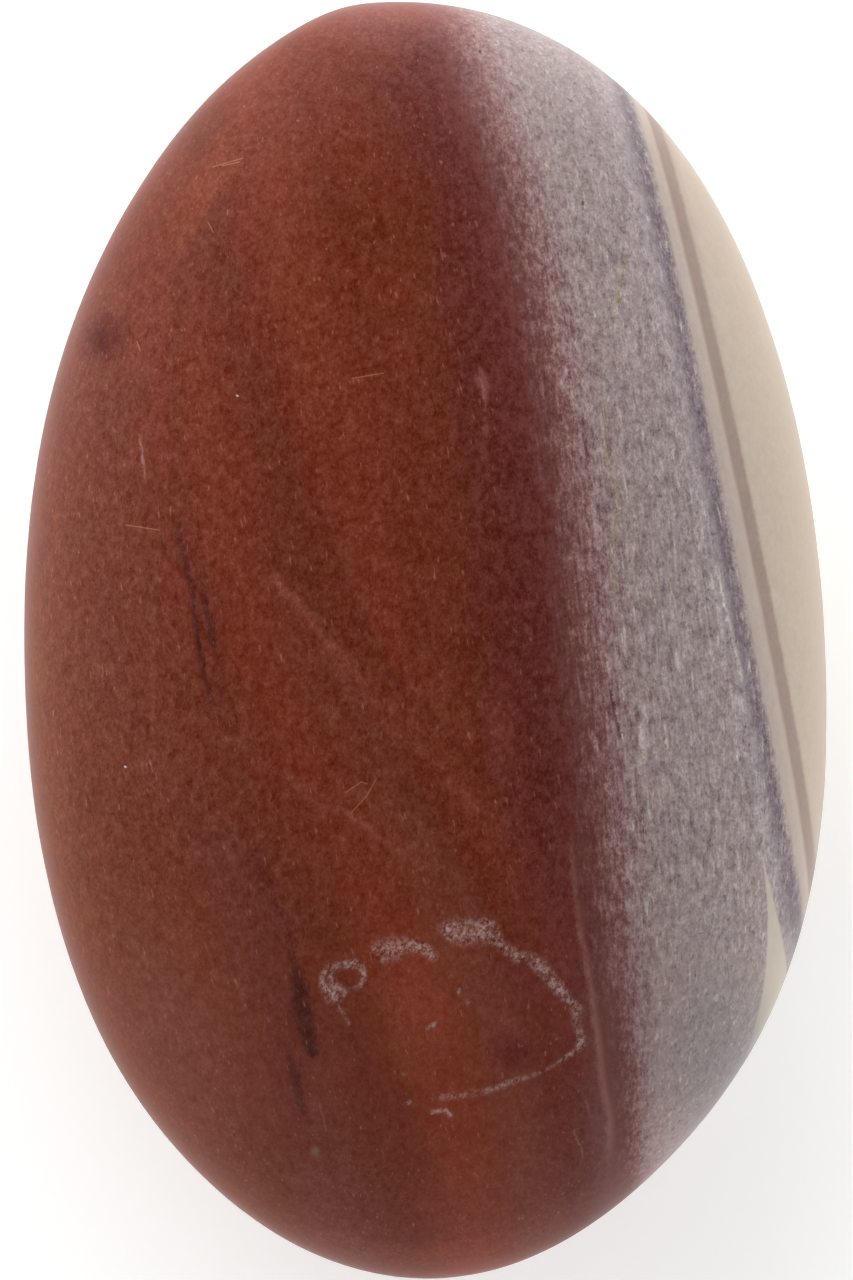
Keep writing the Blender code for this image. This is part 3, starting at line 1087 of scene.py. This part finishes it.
def hang_lights(stage):
    """A soft room, dim overhead and bright at its sides, and one large low lamp. Nothing mirrors them."""
    world = bpy.data.worlds.new("soft_room")
    world.use_nodes = True
    net = Net(world.node_tree)
    x, y, rise = net.separate(net.node("ShaderNodeTexCoord").outputs["Generated"])
    height = net.smooth(rise, 0.0, SKY_TOP, stage.horizon, stage.zenith)
    outward = net.vector("NORMALIZE", net.combine(x, y, 0.0))
    bright_side = (math.cos(stage.key_turn), math.sin(stage.key_turn), 0.0)
    side = net.times_plus(net.measure("DOT_PRODUCT", outward, bright_side), stage.one_sided, 1.0)
    background = world.node_tree.nodes["Background"]
    net.plug(background.inputs["Strength"], net.times(height, side))
    net.plug(background.inputs["Color"], (1.0, 1.0, 1.0, 1.0))
    bpy.context.scene.world = world
    world.cycles_visibility.glossy = False
    lamp = bpy.data.lights.new("key", "AREA")
    lamp.shape = "RECTANGLE"
    lamp.size, lamp.size_y = KEY_SIZE
    lamp.energy = stage.key_power
    key = bpy.data.objects.new("key", lamp)
    aim = Vector(bright_side) * math.cos(stage.key_height)
    aim.z = math.sin(stage.key_height)
    key.location = aim * KEY_DISTANCE
    key.visible_glossy = False
    key.rotation_euler = aim.to_track_quat("Z", "Y").to_euler()
    bpy.context.scene.collection.objects.link(key)


def place_camera(stage, girth):
    """Looks straight down on the crown, with the narrow end up."""
    data = bpy.data.cameras.new("camera")
    data.sensor_width = SENSOR
    data.lens = SENSOR * stage.camera_height / stage.view_length
    camera = bpy.data.objects.new("camera", data)
    camera.location = (stage.camera_across, 0.0, girth + stage.camera_height)
    bpy.context.scene.collection.objects.link(camera)
    bpy.context.scene.camera = camera


class STONE_OT_set_stage(bpy.types.Operator):
    """Lay the pale floor, hang the soft light and place the camera"""

    bl_idname = "palm_stone.set_stage"
    bl_label = "Set Stage"

    def execute(self, context):
        scene = context.scene
        stage = scene.stone_stage
        sizes = scene.stone_sizes
        lay_floor(stage.floor, stage.floor_glow)
        hang_lights(stage)
        place_camera(stage, sizes.thickness * (1.0 - sizes.crown_share))
        scene.view_settings.view_transform = "Standard"
        return {"FINISHED"}


class STONE_PT_panel(bpy.types.Panel):
    """Settings and steps of the palm stone"""

    bl_label = "Palm Stone"
    bl_idname = "STONE_PT_panel"
    bl_space_type = "VIEW_3D"
    bl_region_type = "UI"
    bl_category = "Palm Stone"

    def draw(self, context):
        scene = context.scene
        for settings in (scene.stone_sizes, scene.stone_colours, scene.stone_stage):
            box = self.layout.box()
            for key in type(settings).__annotations__:
                box.prop(settings, key)
        self.layout.operator(STONE_OT_build_stone.bl_idname)
        self.layout.operator(STONE_OT_set_stage.bl_idname)


CLASSES = (
    StoneSizes,
    StoneColours,
    StoneStage,
    STONE_OT_build_stone,
    STONE_OT_set_stage,
    STONE_PT_panel,
)


def register():
    for cls in CLASSES:
        bpy.utils.register_class(cls)
    bpy.types.Scene.stone_sizes = bpy.props.PointerProperty(type=StoneSizes)
    bpy.types.Scene.stone_colours = bpy.props.PointerProperty(type=StoneColours)
    bpy.types.Scene.stone_stage = bpy.props.PointerProperty(type=StoneStage)


def unregister():
    del bpy.types.Scene.stone_stage
    del bpy.types.Scene.stone_colours
    del bpy.types.Scene.stone_sizes
    for cls in reversed(CLASSES):
        bpy.utils.unregister_class(cls)


def main():
    register()
    bpy.ops.palm_stone.build_stone()
    bpy.ops.palm_stone.set_stage()


if __name__ == "__main__":
    main()
